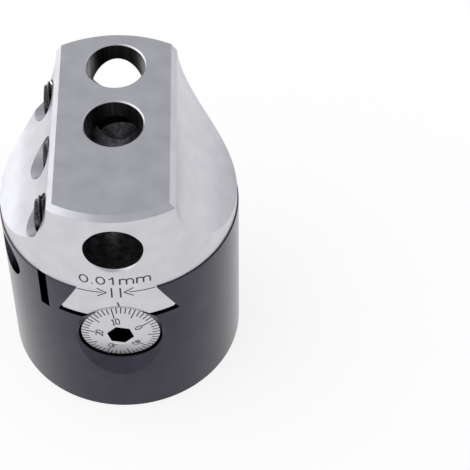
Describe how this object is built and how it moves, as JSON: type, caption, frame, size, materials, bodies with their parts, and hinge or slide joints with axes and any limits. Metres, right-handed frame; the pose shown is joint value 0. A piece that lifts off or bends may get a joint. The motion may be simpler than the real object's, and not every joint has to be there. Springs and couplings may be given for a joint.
{
  "type": "boring head",
  "caption": "Adjustable boring head: round black body, dovetail tool slide with two face bores and a cross bore, graduated dial screw, side clamp screws and a threaded arbor socket in the back.",
  "frame": {"origin": "centre of the body's back face, which is also the centre of the bounding box's bottom", "axes": "+Z from the arbor socket in the back towards the tool end, -Y towards the graduated dial, +Y the way the tool slide feeds out, -X towards the clamping screws"},
  "size_m": [0.05, 0.05, 0.0641],
  "materials": {
    "black_steel": "hardened steel with a glossy black oxide finish",
    "ground_steel": "finely ground and satin-plated steel",
    "dial_steel": "satin steel with fine engraved marks",
    "black_screw": "black-oxide alloy steel",
    "bearing_bronze": "turned bronze",
    "spring_steel": "oiled spring steel"
  },
  "bodies": {
    "head": {"head_body": "black_steel", "thrust_washer": "bearing_bronze", "front_bush": "bearing_bronze", "rear_bush": "bearing_bronze", "inner_disc_spring": "spring_steel", "outer_disc_spring": "spring_steel"},
    "feed_screw": {"dial_screw": "dial_steel", "adjusting_nut": "ground_steel", "lock_nut": "ground_steel"},
    "slide": {"tool_slide": "ground_steel", "feed_nut": "bearing_bronze", "feed_nut_pin": "ground_steel"},
    "clamp_outer": {"tool_clamp_screw_outer": "black_screw"},
    "clamp_centre": {"tool_clamp_screw_centre": "black_screw"},
    "clamp_front": {"tool_clamp_screw_front": "black_screw"},
    "lock_front": {"slide_lock_screw_front": "black_screw"},
    "lock_rear": {"slide_lock_screw_rear": "black_screw"},
    "jaw_screw": {"jaw_adjusting_screw": "black_screw"}
  },
  "joints": [
    {"name": "dial_turn", "type": "hinge", "parent": "head", "child": "feed_screw", "pos_m": [0, 0, 0.02435], "axis": [0, 1, 0], "range_deg": [0, 11520]},
    {"name": "slide_feed", "type": "slide", "parent": "head", "child": "slide", "axis": [0, 1, 0], "range_m": [0, 0.016]},
    {"name": "clamp_outer_screw", "type": "slide", "parent": "slide", "child": "clamp_outer", "axis": [1, 0, 0], "range_m": [-0.003, 0.0013]},
    {"name": "clamp_centre_screw", "type": "slide", "parent": "slide", "child": "clamp_centre", "axis": [1, 0, 0], "range_m": [-0.003, 0.0006]},
    {"name": "clamp_front_screw", "type": "slide", "parent": "slide", "child": "clamp_front", "axis": [1, 0, 0], "range_m": [-0.003, 0.0016]},
    {"name": "lock_front_screw", "type": "slide", "parent": "head", "child": "lock_front", "axis": [1, 0, 0], "range_m": [-0.0025, 0.0003]},
    {"name": "lock_rear_screw", "type": "slide", "parent": "head", "child": "lock_rear", "axis": [1, 0, 0], "range_m": [-0.0025, 0.0003]},
    {"name": "jaw_screw_feed", "type": "slide", "parent": "head", "child": "jaw_screw", "axis": [1, 0, 0], "range_m": [-0.0025, 0.0003]}
  ],
  "couplings": [
    {"joint": "dial_turn", "follows": "slide_feed", "rad_per_m": 12566}
  ]
}
